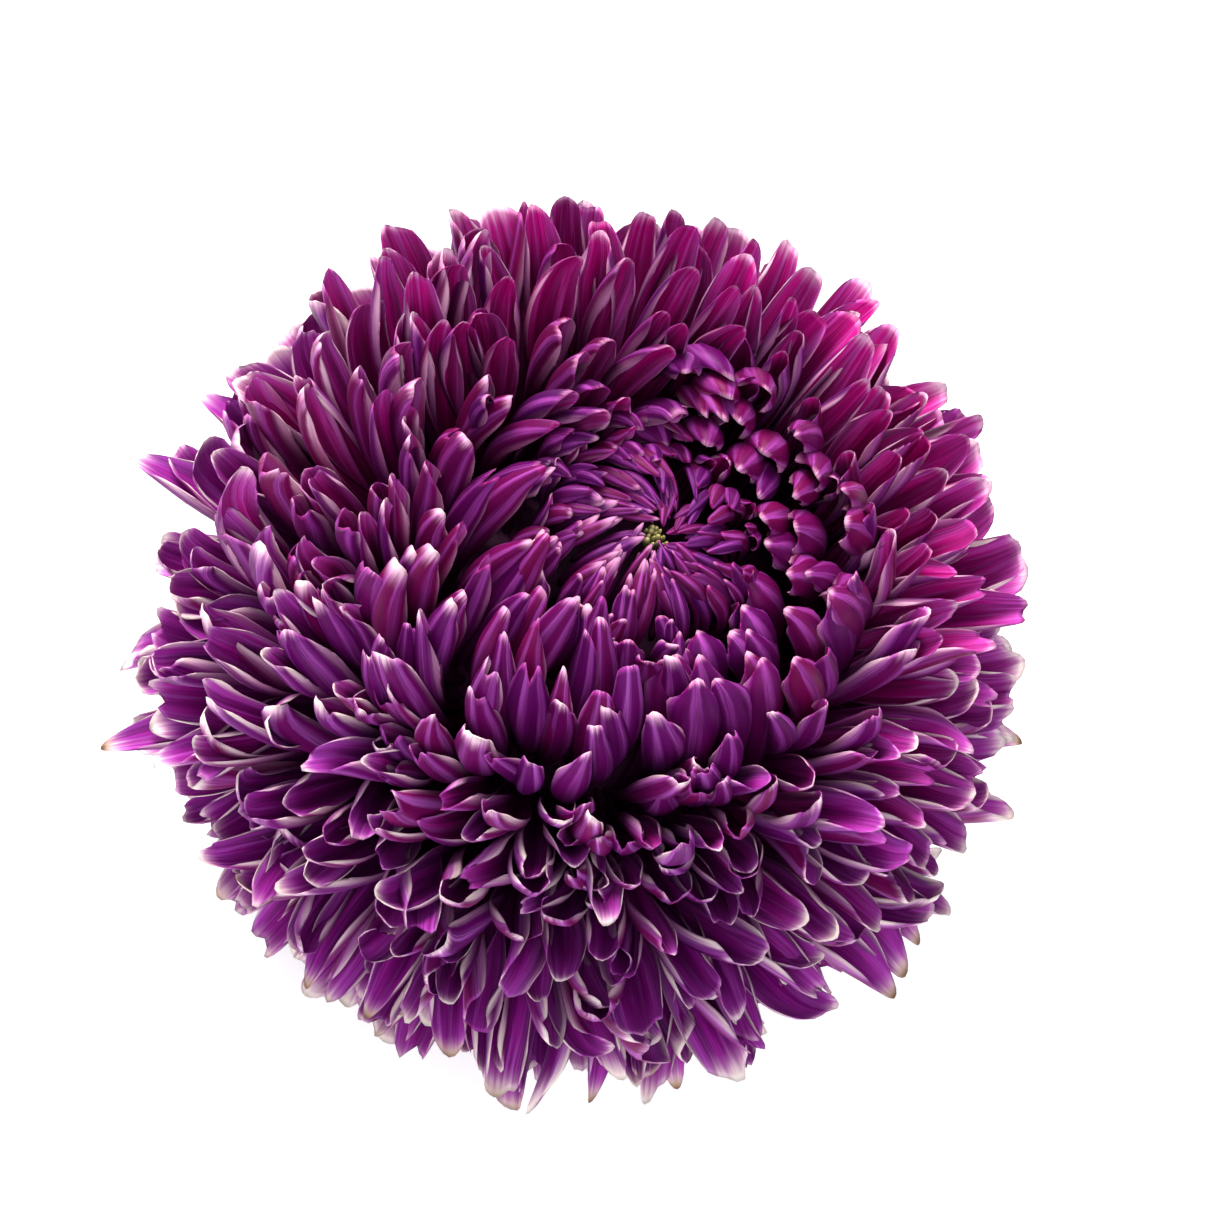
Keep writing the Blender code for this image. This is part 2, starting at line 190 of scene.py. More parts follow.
# The fine shape of an opened floret
CLAW_START = -0.30
CUP_ANGLE = ((20, 104), (45, 104), (60, 99), (90, 95), (124, 84))
FINE_WIDTH = ((20, 0.92), (45, 0.90), (60, 0.90), (124, 0.92))
LOOSE = ((20, 0.6), (40, 1.1), (124, 1.5))
CLAW_CUP = 1.12
CLAW_WIDTH = 0.46
UNROLLED = 1.48
BLADE_FROM, BLADE_FULL = 0.05, 0.62
TAPER_FROM, CURL_FROM, DEEPEST_CURL = 0.70, 0.78, -0.35
LONG_WAVES, SHORT_WAVES = 11, 27
LEAST_PALE = 0.05
TIP_CROWDING, RIM_CROWDING = 1.3, 85
RIM_THINNING, TIP_THINNING = 0.75, 0.6

# Rows and columns of points on a face and the thickness of a shell, and how many florets go into
# the upper one of two pieces
OPENED_SHELL, CROWN_SHELL, BRACT_SHELL = (17, 15, 0.34), (14, 11, 0.26), (12, 11, 0.75)
INNER_UPPER, OUTER_UPPER = 132, 202


def along(pairs, x):
    """The value at x on the straight runs between pairs of position and value."""
    if x <= pairs[0][0]:
        return pairs[0][1]
    for (x0, y0), (x1, y1) in zip(pairs, pairs[1:]):
        if x <= x1:
            return y0 + (y1 - y0) * (x - x0) / (x1 - x0)
    return pairs[-1][1]


def girth_at_polar(polar):
    return math.sin(math.radians(polar))


def girth_at_radius(radius):
    return radius


def direction(lean):
    """A unit vector in the (radius, height) plane that leans outward from straight up."""
    return np.array((math.sin(math.radians(lean)), math.cos(math.radians(lean))))


def toward(turn, side):
    """1 where a turn round the bloom faces a side of it, and -1 where it faces away."""
    return math.cos(math.radians(turn - side))


def evenly(ends, number, count):
    """The place of one of count things that stand evenly between two ends."""
    return ends[0] + (ends[1] - ends[0]) * (number + 0.5) / count


def spread_over(first, last, count, spacing, girth):
    """Places of count tips from first to last, as dense as the spacing and the girth there ask."""
    steps = 400
    edges = [first + (last - first) * k / steps for k in range(steps + 1)]
    held = [0.0]
    for low, high in zip(edges, edges[1:]):
        middle = (low + high) / 2
        held.append(held[-1] + girth(middle) / along(spacing, middle) ** 2)
    shares = [(share / held[-1], edge) for share, edge in zip(held, edges)]
    return [along(shares, (number + 0.5) / count) for number in range(count)]


def opened_floret(turn, polar, roots, chance):
    """Where one opened floret stands, with its own small deviations."""
    turn += chance.uniform(-1, 1) * along(TURN_SPREAD, polar)
    roll = chance.uniform(-1, 1) * along(ROLL_SPREAD, polar)
    reach = along(TIP_RADIUS, polar) + chance.uniform(-1, 1) * along(LENGTH_SPREAD, polar)
    opening = OPENING * toward(turn, OPEN_SIDE) * along(OPENING_SHARE, polar)
    lean = along(TIP_LEAN, polar) + opening + chance.uniform(-1, 1) * along(LEAN_SPREAD, polar)
    return dict(
        root=direction(along(roots[0], polar)) * along(roots[1], polar),
        polar=polar, reach=reach, lean=lean, turn=turn, roll=roll,
        width=along(FLORET_WIDTH, polar) * along(FINE_WIDTH, polar),
        hood=along(HOOD, polar) * along(HOOD_KEPT, polar),
    )


def opened_florets(polars, count, spacing, roots, first_number, chance):
    """Where the opened florets between two polar angles stand."""
    florets = []
    for number, polar in enumerate(spread_over(*polars, count, spacing, girth_at_polar)):
        turn = (first_number + number) * GOLDEN_TURN
        florets.append(opened_floret(turn, polar, roots, chance))
    return florets


def florets_between(florets, polars, count, roots, chance):
    """Where more florets stand, each in the widest gap of a few that are tried."""
    turns = [floret["turn"] for floret in florets]
    heights = [floret["polar"] for floret in florets]
    more = []
    for number in range(count):
        widest = (0.0, 0.0, 0.0)
        for attempt in range(GAPS_TRIED):
            share = chance.uniform(*(math.cos(math.radians(polar)) for polar in polars))
            turn, polar = chance.uniform(0, 360), math.degrees(math.acos(share))
            aside = (np.array(turns) - turn + 180) % 360 - 180
            gap = np.hypot(aside * girth_at_polar(polar), np.array(heights) - polar).min()
            gap *= 1 + WALL_FILLING * max(0.0, toward(turn, WALL_SIDE))
            widest = max(widest, (float(gap), turn, polar))
        turn, polar = widest[1:]
        turns.append(turn)
        heights.append(polar)
        floret = opened_floret(turn, polar, roots, chance)
        floret["reach"] -= BETWEEN_SINK
        more.append(floret)
    return more


def unsettle(floret, chance):
    """Moves a floret a little, together with its neighbours and on its own."""
    turn, polar = math.radians(floret["turn"]), floret["polar"]
    clump = math.sin(4 * turn + 1.7 + 0.11 * polar) + 0.7 * math.sin(7 * turn - 0.17 * polar + 0.6)
    aside = math.sin(5 * turn + 0.13 * polar + 2.0) + 0.6 * math.sin(3 * turn - 0.2 * polar)
    loose = along(LOOSE, polar)
    wall = max(0.0, toward(floret["turn"], WALL_SIDE))
    knob = max(0.0, toward(floret["turn"], KNOB_SIDE))
    floret["wall"], floret["knob"] = wall, knob * along(KNOB_LEAN, polar) / 60
    floret["lean"] += wall * along(WALL_LEAN, polar) - knob * along(KNOB_LEAN, polar)
    floret["reach"] += wall * along(WALL_REACH, polar) - knob * along(KNOB_SINK, polar)
    floret["reach"] -= chance.uniform(0, 2) * along(STAY_BACK, polar)
    floret["width"] *= 1 + wall * (along(WALL_WIDTH, polar) - 1) + knob * (along(KNOB_WIDTH, polar) - 1)
    floret["lean"] += loose * (4.0 * clump + chance.uniform(-8, 8))
    floret["lean"] -= chance.uniform(0, 1) * along(STAND_UP, polar)
    floret["turn"] += loose * (1.2 * aside + chance.uniform(-2.2, 2.2))
    floret["reach"] += loose * (0.5 * clump + chance.uniform(-1.0, 0.6))
    floret["reach"] = min(floret["reach"], MOST_REACH)
    floret["stands"] = polar + loose * chance.uniform(-1.6, 1.6)
    floret["aside"] = loose * 0.05 * aside - wall * along(WALL_SWAY, polar)


def reach_out(florets):
    """Lets some florets of the skirt reach out of the outline, long and pointed."""
    skirt = [floret for floret in florets if SKIRT[0] < floret["polar"] < SKIRT[1]]
    for turn, reach in REACHING:
        nearest = max(skirt, key=lambda floret: toward(floret["turn"], turn))
        skirt = [floret for floret in skirt if floret is not nearest]
        nearest["reaching"] = True
        nearest["reach"] = reach
        nearest["lean"] = nearest["polar"] - 4
        nearest["stands"] = 0.5 * nearest["polar"] + 47


def sharpen(florets):
    """Draws the reaching florets to a point."""
    for floret in florets:
        if floret.get("reaching"):
            floret.update(SHARP_LOOKS, twist=0.6 * floret["twist"], seed=0.75 + 0.25 * floret["seed"])


def settle(floret):
    """Works out the curve of an opened floret from how it stands."""
    root, tip = floret["root"], direction(floret["stands"]) * floret["reach"]
    length = float(np.linalg.norm(tip - root))
    floret["tip"], floret["length"] = tip, length
    floret["control"] = tip - direction(floret["lean"]) * (length * CONTROL_SHARE)


def young_floret(root, bulge, tip, turn, width, polar):
    """Where a young floret stands that bends over towards the eye."""
    root, bulge, tip = np.array(root), np.array(bulge), np.array(tip)
    return dict(
        root=root, control=bulge, tip=tip, turn=turn, roll=0.0, width=width, polar=polar,
        length=float(np.linalg.norm(tip - root)), hood=0.0, aside=0.0,
    )


def crown_florets(chance):
    """Where the young florets of the crown stand."""
    florets = []
    radii = spread_over(*CROWN_RADII, CROWN_COUNT, CROWN_SPACING, girth_at_radius)
    for number, radius in enumerate(radii):
        lift, reach = chance.uniform(-1.3, 1.1), radius * (1 + chance.uniform(-0.16, 0.16))
        root = (along(CROWN_ROOT_RADIUS, radius), along(CROWN_ROOT_HEIGHT, radius))
        bulge = (along(CROWN_BULGE_RADIUS, radius), along(CROWN_BULGE_HEIGHT, radius) + lift)
        tip = (reach, along(CROWN_TIP_HEIGHT, radius) + 0.5 * lift)
        turn = number * GOLDEN_TURN + chance.uniform(-11, 11)
        open_side = toward(turn, KNOB_SIDE)
        kept = open_side < OPEN_FROM and number % 5 not in (0, 2)
        if kept or radius < CROWN_FULL or (radius < CROWN_SPARSE and number % 2):
            width = (0.95 + 0.10 * max(0.0, open_side)) * along(CROWN_WIDTH, radius)
            florets.append(young_floret(root, bulge, tip, turn, width, radius))
    return florets


def between_crown_florets(chance):
    """Where narrow florets stand between those of the crown, a little higher or lower."""
    florets = []
    for number in range(BETWEEN_CROWN_COUNT):
        radius = evenly(BETWEEN_CROWN_RADII, number, BETWEEN_CROWN_COUNT)
        lift = chance.uniform(-0.8, 0.9)
        root = (along(CROWN_ROOT_RADIUS, radius), along(CROWN_ROOT_HEIGHT, radius))
        bulge = (along(CROWN_BULGE_RADIUS, radius) - 0.5, along(CROWN_BULGE_HEIGHT, radius) + lift)
        tip = (radius, along(CROWN_TIP_HEIGHT, radius) + 0.6 * lift + 0.2)
        turn = (number + 0.5) * GOLDEN_TURN + chance.uniform(-20, 20)
        width = chance.uniform(0.55, 0.85) * along(CROWN_WIDTH, radius)
        kept = radius < ALL_WITHIN or ALL_BETWEEN[0] < radius < ALL_BETWEEN[1]
        if kept or toward(turn, KNOB_SIDE) < OPEN_FROM:
            florets.append(young_floret(root, bulge, tip, turn, width, radius))
    return florets


def closing_florets(chance):
    """Where the smallest florets stand, which nearly close over the eye."""
    florets = []
    for number in range(CLOSING_COUNT):
        radius = evenly(CLOSING_RADII, number, CLOSING_COUNT)
        root = (CLOSING_ROOT[0] + radius, CLOSING_ROOT[1])
        bulge = (CLOSING_BULGE[0] + radius, CLOSING_BULGE[1] + 0.3 * radius)
        turn = (number + 0.4) * GOLDEN_TURN + chance.uniform(-12, 12)
        tip = (radius, CLOSING_TIP + chance.uniform(0, 0.9))
        florets.append(young_floret(root, bulge, tip, turn, chance.uniform(0.9, 1.4), 2.0))
    return florets


def hollow_florets(chance):
    """Where the florets stand that fill the hollow round the crown, lower on the open side."""
    florets = []
    for number in range(HOLLOW_COUNT):
        turn = (number + 0.3) * GOLDEN_TURN + chance.uniform(-6, 6)
        drop = HOLLOW_DROP * max(0.0, toward(turn, KNOB_SIDE))
        radius = evenly(HOLLOW_RADII, number, HOLLOW_COUNT) + chance.uniform(-0.5, 0.5)
        bulge = (HOLLOW_BULGE[0] + 0.12 * radius, HOLLOW_BULGE[1] - drop)
        tip = (radius, HOLLOW_TIP + 0.28 * (radius - 11) + chance.uniform(-0.8, 0.8) - drop)
        width = HOLLOW_WIDTH + 0.3 * (radius - 11) + chance.uniform(-0.3, 0.3)
        if drop < 0.30 * HOLLOW_DROP and number % 3:
            florets.append(young_floret(HOLLOW_ROOT, bulge, tip, turn, width, CROWN_EDGE))
    return florets


def knob_florets(chance):
    """Where the plump florets stand that bend over the hollow from the open side."""
    florets = []
    for row, (radius, height, count, over, above) in enumerate(KNOB_ROWS):
        for number in range(count):
            share = (number + 0.5 + 0.25 * (-1) ** row) / count - 0.5
            turn = KNOB_SIDE + KNOB_SPAN * share + chance.uniform(-7, 7)
            near, high = radius + chance.uniform(-1.4, 1.4), height + chance.uniform(-1.4, 1.2)
            root = (near + KNOB_ROOT[0], KNOB_ROOT[1])
            bulge = (near + over + chance.uniform(-0.8, 0.8), high + above + chance.uniform(-0.8, 0.8))
            width = chance.uniform(*KNOB_BREADTH)
            floret = young_floret(root, bulge, (near, high), turn, width, CROWN_EDGE)
            floret["plump"] = True
            florets.append(floret)
    return florets


def bracts():
    """Where the bracts stand, in rows round the cup, each row half hidden by the next one up."""
    standing = []
    for count, root, tip, shift in BRACT_ROWS:
        middle = ((root[0] + tip[0]) / 2 + 0.6, (root[1] + tip[1]) / 2 - 1.0)
        for number in range(count):
            turn = 360 * (number + shift) / count
            standing.append(young_floret(root, middle, tip, turn, BRACT_WIDTH, root[0]))
    return standing


def smooth(low, high, x):
    """0 below low and 1 above high, with a smooth rise between them."""
    share = np.clip((x - low) / (high - low), 0, 1)
    return share * share * (3 - 2 * share)


def grid(rows, columns):
    """Shares along and across one face of a floret, closer together at the tip and the rims."""
    down = np.linspace(0, 1, rows)
    along_it = 1 - (1 - down) ** TIP_CROWDING
    turn = np.linspace(-1, 1, columns) * math.radians(RIM_CROWDING)
    across = np.sin(turn) / math.sin(math.radians(RIM_CROWDING))
    return np.meshgrid(along_it, across, indexing="ij")


def column(florets, key):
    return np.array([floret[key] for floret in florets], float)[:, None, None]


def surface(florets, shares, across):
    """Points on the inner face of every floret, where it is shares along and across it."""
    def pair(key):
        both = np.array([floret[key] for floret in florets])
        return both[:, 0][:, None, None], both[:, 1][:, None, None]

    (root_r, root_z), (bulge_r, bulge_z), (tip_r, tip_z) = pair("root"), pair("control"), pair("tip")
    sunk, s = np.minimum(shares, 0), np.maximum(shares, 0)
    radius = root_r * (1 - s) ** 2 + bulge_r * 2 * s * (1 - s) + tip_r * s * s
    height = root_z * (1 - s) ** 2 + bulge_z * 2 * s * (1 - s) + tip_z * s * s
    radius = radius + 2 * (bulge_r - root_r) * sunk
    height = height + 2 * (bulge_z - root_z) * sunk
    run_r = (bulge_r - root_r) * (1 - s) + (tip_r - bulge_r) * s
    run_z = (bulge_z - root_z) * (1 - s) + (tip_z - bulge_z) * s
    size = np.hypot(run_r, run_z)
    run_r, run_z = run_r / size, run_z / size

    width, length = column(florets, "width"), column(florets, "length")
    hooded = np.clip((s - HOOD_FROM) / (1 - HOOD_FROM), 0, None) ** 2
    curled = np.clip((s - CURL_FROM) / (1 - CURL_FROM), 0, None) ** 2
    lift = width * (column(florets, "hood") * hooded + column(florets, "curl") * curled)
    sway = (column(florets, "bend") + column(florets, "aside")) * length * s * s

    turn = np.radians(column(florets, "turn"))
    zero, one = np.zeros_like(turn), np.ones_like(turn)
    out = np.stack((np.cos(turn), np.sin(turn), zero), -1)
    sideways = np.stack((-np.sin(turn), np.cos(turn), zero), -1)
    up = np.stack((zero, zero, one), -1)
    inward = up * run_r[..., None] - out * run_z[..., None]
    middle = out * radius[..., None] + up * height[..., None]
    middle = middle + inward * lift[..., None] + sideways * sway[..., None]

    roll = np.radians(column(florets, "roll") + column(florets, "twist") * s)[..., None]
    side = sideways * np.cos(roll) + inward * np.sin(roll)
    facing = inward * np.cos(roll) - sideways * np.sin(roll)

    claw = column(florets, "claw")
    wide = claw + (1 - claw) * smooth(BLADE_FROM, BLADE_FULL, s)
    wide = wide * (1 - column(florets, "taper") * smooth(TAPER_FROM, 1.0, s))
    cup = column(florets, "cup_angle")
    cup = cup * (CLAW_CUP + (1 - CLAW_CUP) * smooth(0.1, 0.6, s))
    cup = np.radians(cup * (1 + column(florets, "pinch") * smooth(CURL_FROM, 1.0, s)))
    tilt = cup * (across + column(florets, "rim") * across**7 * smooth(0.3, 0.7, s))
    groove = column(florets, "groove") * smooth(-0.1, 0.2, s) * (1 - across**4)
    tilt = tilt + groove * np.sin(column(florets, "ribs") * math.pi * across)
    half = width / 2 * wide * UNROLLED
    flat, raised = half * swept(np.cos(tilt), across), half * swept(np.sin(tilt), across)
    wave = column(florets, "frill") * smooth(TAPER_FROM, 1.0, s) * across**2
    phase = column(florets, "phase")
    raised = raised + wave * np.sin(phase + LONG_WAVES * s + 4.2 * across)
    raised = raised + 0.5 * wave * np.abs(across) * np.sin(2.3 * phase + SHORT_WAVES * s - 3.0 * across)
    return middle + side * flat[..., None] + facing * raised[..., None]


def swept(slope, across):
    """Sums a slope outward from the middle column of each row."""
    steps = (slope[..., 1:] + slope[..., :-1]) / 2 * np.diff(across, axis=-1)
    total = np.concatenate((np.zeros_like(slope[..., :1]), np.cumsum(steps, -1)), -1)
    middle = slope.shape[-1] // 2
    return total - total[..., middle : middle + 1]


def outline(florets, across):
    """Share of its length at which each column of a floret ends: a rounded tip with notches."""
    ends = 1 - column(florets, "rounding") * (1 - np.sqrt(np.clip(1 - across**2, 0, 1)))
    for k in range(3):
        place, depth = column(florets, f"notch_{k}"), column(florets, f"notch_depth_{k}")
        breadth = column(florets, f"notch_breadth_{k}")
        ends = ends - depth * np.exp(-(((across - place) / breadth) ** 2))
    return ends


def raised_to_surface(points):
    """Bends each floret up along its length so that nothing sinks below the floor."""
    surface_height = -MIDDLE_HEIGHT + FLOOR_MARGIN
    z = points[..., 2].reshape(len(points), -1)
    root, lowest = z[:, :1], z.min(1, keepdims=True)
    sinks = lowest < surface_height
    fall = np.maximum(0, root - z) / np.where(sinks, root - lowest, 1)
    bent = np.maximum(surface_height, z + (surface_height - lowest) * fall * fall)
    points[..., 2] = np.where(sinks, bent, z).reshape(points[..., 2].shape)
    return points


def shells(florets, rows, columns, thickness):
    """Closed thin shells for the florets: points, faces, place on the floret, and map places."""
    down, across = grid(rows, columns)
    across = np.broadcast_to(across, (len(florets), rows, columns))
    shares = CLAW_START + (outline(florets, across) - CLAW_START) * down
    front = raised_to_surface(surface(florets, shares, across))
    run = np.gradient(front, axis=1)
    wide = np.gradient(front, axis=2)
    normal = np.cross(run, wide)
    normal /= np.maximum(np.linalg.norm(normal, axis=-1, keepdims=True), 1e-9)
    depth = thickness * (1 - RIM_THINNING * across**4) * (1 - TIP_THINNING * smooth(0.5, 1.0, shares))
    depth = depth * column(florets, "body")
    back = front - normal * depth[..., None]
    back[..., 2] = np.maximum(back[..., 2], -MIDDLE_HEIGHT + FLOOR_MARGIN / 2)

    inner = (slice(None), slice(1, -1), slice(1, -1))
    count = len(florets)
    points = np.concatenate((front.reshape(count, -1, 3), back[inner].reshape(count, -1, 3)), 1)
    side = np.ones((rows, columns))
    side[0, :] = side[-1, :] = side[:, 0] = side[:, -1] = 0.5
    place = np.stack((across, shares, np.broadcast_to(side, across.shape)), -1)
    hidden = place.copy()
    hidden[..., 2] = 0.0
    place = np.concatenate((place.reshape(count, -1, 3), hidden[inner].reshape(count, -1, 3)), 1)

    front_index = np.arange(rows * columns).reshape(rows, columns)
    back_index, inside = front_index.copy(), (rows - 2, columns - 2)
    back_index[1:-1, 1:-1] = rows * columns + np.arange(math.prod(inside)).reshape(inside)

    def quads(index, flip):
        corners = (index[:-1, :-1], index[1:, :-1], index[1:, 1:], index[:-1, 1:])
        corners = corners[::-1] if flip else corners
        return np.stack(corners, -1).reshape(-1, 4)

    pattern = np.concatenate((quads(front_index, False), quads(back_index, True)))
    per = points.shape[1]
    faces = (pattern[None] + (np.arange(count) * per)[:, None, None]).reshape(-1, 4)

    flat_down, flat_across = np.meshgrid(
        np.linspace(0.02, 0.98, rows), np.linspace(0.02, 0.98, columns), indexing="ij"
    )
    flat = np.stack((flat_across, flat_down), -1).reshape(-1, 2)
    cells = int(math.ceil(math.sqrt(2 * count)))
    maps = []
    for half in range(2):
        index = quads(front_index, half == 1)
        cell = 2 * np.arange(count) + half
        corner = np.stack((cell % cells, cell // cells), -1)[:, None, None, :]
        maps.append((flat[index][None] + corner) / cells)
    maps = np.concatenate(maps, 1).reshape(-1, 2)
    return points.reshape(-1, 3), faces, place.reshape(-1, 3), maps


def add(name, data):
    """Puts a mesh, a lamp or a camera into the scene."""
    thing = bpy.data.objects.new(name, data)
    bpy.context.scene.collection.objects.link(thing)
    return thing


def new_mesh(name, points, faces):
    """A smooth mesh object in the frame from points in millimetres round the bloom's middle."""
    mesh = bpy.data.meshes.new(name)
    mesh.vertices.add(len(points))
    mesh.vertices.foreach_set("co", ((points + CENTRE) * MM).astype(np.float32).ravel())
    mesh.loops.add(faces.size)
    mesh.loops.foreach_set("vertex_index", faces.ravel().astype(np.int32))
    mesh.polygons.add(len(faces))
    mesh.polygons.foreach_set("loop_start", np.arange(0, faces.size, faces.shape[1], dtype=np.int32))
    mesh.update(calc_edges=True)
    mesh.validate()
    mesh.shade_smooth()
    return add(name, mesh)


def put(mesh, name, values):
    """Stores a vector for each vertex, for the materials to read."""
    mesh.attributes.new(name, "FLOAT_VECTOR", "POINT").data.foreach_set(
        "vector", values.astype(np.float32).ravel()
    )


def floret_piece(name, florets, shell, material):
    """One piece of the bloom from many florets."""
    points, faces, place, maps = shells(florets, *shell)
    piece = new_mesh(name, points, faces)
    put(piece.data, "place", place)
    per = len(points) // len(florets)
    own = np.array([(f["seed"], f["age"], f["pale"]) for f in florets])
    put(piece.data, "own", np.repeat(own, per, 0))
    piece.data.uv_layers.new(name="OFBake").uv.foreach_set("vector", maps.astype(np.float32).ravel())
    piece.data.materials.append(material)
    return piece


def dress(florets, chance, looks):
    """Gives each floret its own small differences."""
    for floret in florets:
        polar = floret["polar"]
        for key, (middle, spread) in looks.items():
            middle = along(middle, polar) if isinstance(middle, tuple) else middle
            spread = along(spread, polar) if isinstance(spread, tuple) else spread
            floret[key] = middle + spread * chance.uniform(-1, 1)
        floret["phase"] = chance.uniform(0, 2 * math.pi)
        floret["seed"] = chance.random()
        horned = chance.random() < floret["horned"]
        for k, (middle, spread, deepest, breadth) in enumerate(NOTCHES):
            floret[f"notch_{k}"] = middle + chance.uniform(-spread, spread)
            floret[f"notch_breadth_{k}"] = breadth
            deep = deepest * chance.uniform(0.3, 1.0)
            wanted = horned if k == 0 else chance.random() < floret["notched"]
            floret[f"notch_depth_{k}"] = deep if wanted else 0.0
        floret["width"] *= floret["broad"]
        floret["roll"] += floret["rolled"]
    return florets


# Notches of a tip: place across it, how far that varies, deepest cut as a share of the length,
# and breadth
NOTCHES = ((0.0, 0.20, 0.13, 0.30), (-0.45, 0.2, 0.05, 0.14), (0.45, 0.2, 0.05, 0.14))

OPENED_LOOKS = dict(
    broad=(1.0, ((20, 0.14), (60, 0.22), (124, 0.24))),
    rolled=(0.0, 18.0),
    curl=(
        ((20, 0.05), (50, 0.06), (70, 0.22), (100, 0.20), (124, 0.10)),
        ((20, 0.10), (60, 0.32), (124, 0.32)),
    ),
    bend=(0.0, ((20, 0.10), (60, 0.15), (124, 0.15))),
    twist=(0.0, ((20, 30), (60, 44), (124, 40))),
    claw=(CLAW_WIDTH, 0.06),
    taper=(((20, 0.44), (50, 0.36), (64, 0.24), (124, 0.26)), 0.18),
    cup_angle=(CUP_ANGLE, 15),
    pinch=(((20, 0.10), (60, 0.05), (124, 0.05)), 0.20),
    rim=(0.05, 0.10),
    frill=(((20, 0.06), (60, 0.38), (124, 0.46)), ((20, 0.05), (60, 0.28), (124, 0.32))),
    groove=(0.42, 0.10),
    ribs=(3.1, 0.4),
    rounding=(((20, 0.20), (50, 0.20), (124, 0.22)), 0.06),
    notched=(((20, 0.10), (50, 0.35), (124, 0.50)), 0.0),
    horned=(((20, 0.05), (35, 0.15), (60, 0.50), (124, 0.55)), 0.0),
    body=(1.0, 0.1),
    age=(((20, 0.15), (124, 1.0)), 0.05),
    pale=(((20, 0.30), (55, 0.55), (85, 0.75), (124, 1.0)), 0.25),
)
CROWN_LOOKS = dict(
    broad=(1.02, 0.22), rolled=(0.0, 24.0), curl=(-0.25, 0.45), bend=(-0.12, 0.16),
    twist=(10.0, 26.0), claw=(0.62, 0.08), taper=(0.45, 0.12), cup_angle=(112, 12),
    pinch=(0.05, 0.10), rim=(0.0, 0.02), frill=(0.03, 0.03), groove=(0.30, 0.08), ribs=(3.0, 0.5),
    rounding=(0.20, 0.05), notched=(0.10, 0.0), horned=(0.0, 0.0), body=(1.0, 0.1),
    age=(((2, 0.0), (13, 0.12)), 0.02), pale=(((2, 0.30), (7, 0.25), (13, 0.40)), 0.28),
)
BRACT_LOOKS = dict(
    broad=(0.95, 0.10), rolled=(0.0, 5.0), curl=(-0.06, 0.08), bend=(0.0, 0.04), twist=(0.0, 10.0),
    claw=(0.85, 0.08), taper=(0.75, 0.08), cup_angle=(46, 8), pinch=(0.0, 0.1), rim=(0.0, 0.03),
    frill=(0.06, 0.05), groove=(-0.16, 0.05), ribs=(3.0, 0.2), rounding=(0.26, 0.05),
    notched=(0.3, 0.0), horned=(0.0, 0.0), body=(1.0, 0.1), age=(0.5, 0.1), pale=(0.5, 0.3),
)
SHARP_LOOKS = dict(
    taper=0.52, rounding=0.28, pinch=0.10, curl=-0.05, cup_angle=88, age=1.0, pale=0.72,
    notch_depth_0=0.0, notch_depth_1=0.0, notch_depth_2=0.0,
)
HOODED_LOOKS = dict(rim=0.0, curl=-0.2, frill=0.05, notch_depth_0=0.0)
PLUMP_LOOKS = dict(
    claw=0.66, taper=0.56, pinch=0.16, rim=0.0, rounding=0.30, pale=0.45, age=0.17, groove=0.22,
)


def multiply(floret, share, *keys):
    """Makes some of a floret's looks stronger or weaker."""
    for key in keys:
        floret[key] *= share


def suit_to_side(floret):
    """Fits the looks of an opened floret to the side of the bloom where it stands."""
    polar, wall, knob = floret["polar"], floret["wall"], floret["knob"]
    far = max(0.0, -toward(floret["turn"], WALL_SIDE))
    # Painted light: the florets on one side are made younger and redder, as if lit through from behind
    floret["age"] += LIGHT_THROUGH_SHIFT * toward(floret["turn"], LIGHT_THROUGH_SIDE)
    floret["taper"] += WALL_TAPER * wall * (polar < WALL_FOOT)
    floret["pale"] -= FAR_PALE * far * (polar < FAR_FOOT)
    multiply(floret, 1 - FAR_FRILL * far, "frill")
    multiply(floret, 1 - FAR_NOTCHES * far, "notch_depth_0", "notch_depth_1", "notch_depth_2")
    floret["cup_angle"] += wall * along(WALL_CUP, polar) - far * along(FAR_CUP, polar)
    if TUMBLED[0] < polar < TUMBLED[1]:
        multiply(floret, 1 + WALL_TUMBLE * wall, "bend", "twist", "roll")
    if knob > KNOB_LOOKS_FROM:
        floret["cup_angle"] += KNOB_CUP * knob
        floret["hood"] += KNOB_HOOD * knob
        floret.update(HOODED_LOOKS, twist=0.3 * floret["twist"])


def suit_to_crown(floret):
    """Fits the looks of a floret of the crown to where it stands, paler on the near side."""
    floret["curl"] = max(DEEPEST_CURL, floret["curl"])
    floret["pale"] += NEAR_PALE * toward(floret["turn"], NEAR_SIDE)
    if floret["polar"] < CROWN_MIDDLE:
        # Paler on one side of the crown's middle
        floret["pale"] += max(0.0, toward(floret["turn"], PALE_MIDDLE_SIDE)) ** 2
    if floret.get("plump"):
        multiply(floret, 0.3, "curl")
        multiply(floret, 0.6, "bend", "twist", "roll", "cup_angle")
        floret.update(PLUMP_LOOKS, cup_angle=floret["cup_angle"] + 44)


# Materials


